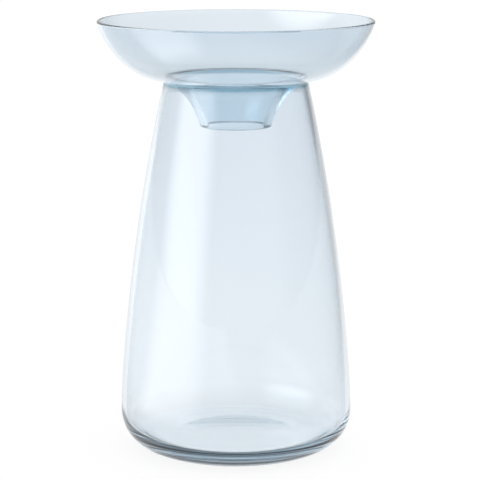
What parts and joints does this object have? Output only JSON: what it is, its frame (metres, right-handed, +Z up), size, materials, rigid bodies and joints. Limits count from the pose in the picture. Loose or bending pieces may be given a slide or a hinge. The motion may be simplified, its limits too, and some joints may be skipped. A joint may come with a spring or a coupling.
{
  "type": "hyacinth forcing vase",
  "caption": "Tapered clear glass vase with a lift-off bulb bowl whose funnel hangs in the mouth over the water.",
  "frame": {"origin": "middle of the foot, on the surface that the vase stands on", "axes": "+Z up along the axis that both pieces are turned about; X and Y are level and the same all round"},
  "size_m": [0.12, 0.12, 0.1886],
  "materials": {
    "vase_glass": "clear pale blue glass, fire-polished",
    "bowl_clear": "clear pale blue, smooth and glossy"
  },
  "bodies": {
    "vase_body": {"vase_body": "vase_glass"},
    "bulb_bowl": {"bulb_bowl": "bowl_clear"}
  },
  "joints": [
    {"name": "bowl_lift", "type": "slide", "parent": "vase_body", "child": "bulb_bowl", "axis": [0, 0, 1], "range_m": [0, 0.06]}
  ]
}
